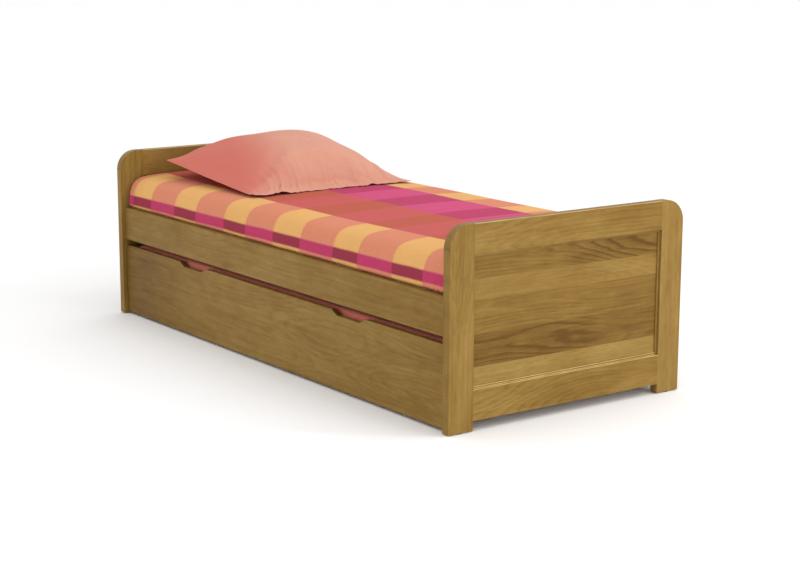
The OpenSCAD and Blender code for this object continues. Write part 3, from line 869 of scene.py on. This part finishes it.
def pillow():
    """The flanged square pillow: a filled bag that lies on its belly, and its sloping flange."""
    low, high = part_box("pillow")
    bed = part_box("bedspread")[1].z + 0.0035    # the cloth's crown, above its plain CAD solid
    middle = (low + high) / 2 + SHIFT
    size = (high - low).xy / 2 - MARGIN
    bag, rim = bag_mesh()
    places = [(v.co.x / BAG, v.co.y / BAG) for v in bag.data.vertices]
    cloth_puff(bag, 3.0, 36)
    filled = [v.co.z for v in bag.data.vertices]
    tall = max(filled)

    def settle(u, v, z, upper):
        """A point of the bag on the bed: crown leaning to the foot, belly on the spread."""
        foot = smooth((u + 0.1) / 0.6)
        swell, plain = dome(u, v, *CROWN), dome(u, v, 2, 2, 0.42)
        height = bed + seam_height(u, v)
        height -= 0.005 * foot * mound(u - 1, 0, 0.03, 1)    # the groove of the foot seam
        if upper:
            folds = min(max(z / tall - plain + 0.12, -0.25), 0.25) * (plain > 0.2)
            height += RISE * swell + 0.045 * (0.12 + 0.88 * foot) * folds
            height += corner_crease(u, v)
            for a, b, lump, along, across in LUMPS:
                height += lump * mound(u - a, v - b, along, across)
        else:
            height -= 0.06 * plain
        return Vector((middle.x + u * (size.x - HEM) + LEAN * swell,
                       middle.y + v * (size.y - HEM), max(height, bed + 0.0015)))

    seated = [settle(*place, z, k < UPPER) for k, (place, z) in enumerate(zip(places, filled))]
    faces = [list(poly.vertices) for poly in bag.data.polygons]
    bpy.data.objects.remove(bag)
    case = case_mesh(seated, faces, rim, places, middle, size, bed)
    subdivide(case)
    gather(case)
    shade(case, 80)
    # the third colour is painted shade for the case's near side
    coral = cotton("coral_cotton", srgb(216, 160, 137), srgb(198, 133, 112),
                   painted_shade=srgb(199, 108, 93))
    finish_piece(case, "bed_frame", coral, ["pillow"])


def case_mesh(seated, faces, rim, places, middle, size, bed):
    """The seated bag with its flange, as one closed surface whose hem ruffles at the foot.

    Each rim point starts a column that runs out over the flange, round the hem and back under it.
    """
    verts, ring = list(seated), []
    # (u, v, share of the gathers) for every point
    spots = [(u, v, 1.0 if k < UPPER else 0.4) for k, (u, v) in enumerate(places)]
    for k in rim:
        u, v = places[k]
        foot = smooth((u - 0.9) / 0.1)
        ruffle = max(noise.noise(Vector((u * 5, v * 7.5, 1.3))), 0.0)
        ruffle *= 1 - mound(u - 1, v - 1, 0.35, 0.35)
        hem = Vector((middle.x + u * size.x + 0.004 * foot * math.sin(v * 21),
                      middle.y + v * size.y,
                      bed + hem_height(u, v) + (0.002 + 0.016 * foot) * ruffle))
        column = [k]
        for step in range(1, 2 * FLANGE_ROWS + 1):
            t = 1 - abs(step - FLANGE_ROWS) / FLANGE_ROWS
            q = seated[k].lerp(hem, t)
            under = min(4 * (1 - t), 1) if step > FLANGE_ROWS else 0
            q.z = max(q.z, bed + CLOTH) - CLOTH * under
            column.append(len(verts))
            verts.append(q)
            spots.append((u + 0.15 * t * (u > 0.99), v, 1.0 - 0.7 * t))
        ring.append(column)
    below = {column[0]: column[-1] for column in ring}
    half = SIDE * SIDE
    faces = faces[:half] + [[below.get(k, k) for k in face] for face in faces[half:]]
    for a, b in zip(ring, ring[1:] + ring[:1]):
        for step in range(2 * FLANGE_ROWS):
            faces.append((a[step], a[step + 1], b[step + 1], b[step]))
    case = link_mesh("pillow_case", verts, faces)
    # painted shade weight: how far each point lies on the near side of the case
    write_layer(case, "painted_shade", (painted_shade_share(u, v) for u, v, share in spots), "POINT")
    write_layer(case, "along", (v for u, v, share in spots), "POINT")
    write_layer(case, "gathered", (share * smooth((u - 0.1) / 0.5) * mound(u - 0.97, 0, 0.3, 1)
                                   for u, v, share in spots), "POINT")
    return case


def painted_shade_share(u, v):
    """How far a point of the case lies on its near side, which gets painted shade."""
    return smooth((-v - 0.35 * u - 0.25 * smooth((u - 0.8) / 0.2) - 0.05) / 0.8)


def gather(case):
    """Draws the finished case into fine pleats across the foot seam."""
    count = len(case.data.vertices)
    along, weight = [0.0] * count, [0.0] * count
    case.data.attributes["along"].data.foreach_get("value", along)
    case.data.attributes["gathered"].data.foreach_get("value", weight)
    floor = min(vertex.co.z for vertex in case.data.vertices)
    for vertex, v, much in zip(case.data.vertices, along, weight):
        fade = smooth((1 - abs(v)) / 0.12)
        vertex.co.z = max(vertex.co.z + PLEAT * fade * much * pucker(v), floor)


# ---------------------------------------------------------------- stage

EYE = (4.743, -3.327, 1.399)    # the photographer's place, solved from the straight edges
TURN = (54.11, 11.48, 0.18)     # yaw, pitch down and roll in degrees
LENS = 79.86                    # focal length on a 36 mm wide frame


def camera():
    """The photograph's viewing angle: a long lens beyond the foot corner, tilted slightly down."""
    yaw, pitch, roll = (math.radians(a) for a in TURN)
    ahead = Vector((-math.sin(yaw) * math.cos(pitch), math.cos(yaw) * math.cos(pitch),
                    -math.sin(pitch)))
    right = Vector((math.cos(yaw), math.sin(yaw), 0))
    up = right.cross(ahead)
    x = right * math.cos(roll) + up * math.sin(roll)
    y = up * math.cos(roll) - right * math.sin(roll)
    data = bpy.data.cameras.new("camera")
    data.lens = LENS
    data.sensor_width = 36
    data.sensor_fit = "HORIZONTAL"
    data.clip_end = 200
    obj = bpy.data.objects.new("camera", data)
    SCENE.collection.objects.link(obj)
    obj.matrix_world = Matrix(((x.x, y.x, -ahead.x, EYE[0]), (x.y, y.y, -ahead.y, EYE[1]),
                               (x.z, y.z, -ahead.z, EYE[2]), (0, 0, 0, 1)))
    SCENE.camera = obj


def area_light(name, place, target, size, power):
    """A rectangular soft light aimed at a point."""
    data = bpy.data.lights.new(name, "AREA")
    data.shape = "RECTANGLE"
    data.size = size[0]
    data.size_y = size[1]
    data.energy = power
    obj = bpy.data.objects.new(name, data)
    SCENE.collection.objects.link(obj)
    obj.location = place
    obj.rotation_euler = (Vector(target) - Vector(place)).to_track_quat("-Z", "Y").to_euler()


def studio():
    """Pale floor, white surroundings and two soft lights."""
    world = bpy.data.worlds.new("studio")
    world.use_nodes = True
    back = world.node_tree.nodes["Background"]
    back.inputs[0].default_value = (1.0, 1.0, 1.0, 1.0)
    back.inputs[1].default_value = 1.05
    SCENE.world = world
    SCENE.view_settings.view_transform = "Standard"
    corners = [(-60, -60, 0), (60, -60, 0), (60, 60, 0), (-60, 60, 0)]
    floor = link_mesh("floor", corners, [(0, 1, 2, 3)])
    sh = Shader("floor_paint")
    floor.data.materials.append(sh.finish(Base_Color=(0.95, 0.95, 0.95, 1), Roughness=0.9,
                                          Specular_IOR_Level=0.1))
    area_light("key", (4.6, 0.9, 1.1), (0.98, 0.0, 0.32), (2.4, 1.6), 46)
    area_light("strip", (2.2, 1.0, 3.0), (0.9, 0.0, 0.5), (0.08, 4.0), 24)


end_panels()
bed_timber()
drawer_timber()
hardware()
mattresses()
bedspread()
pillow()
camera()
studio()
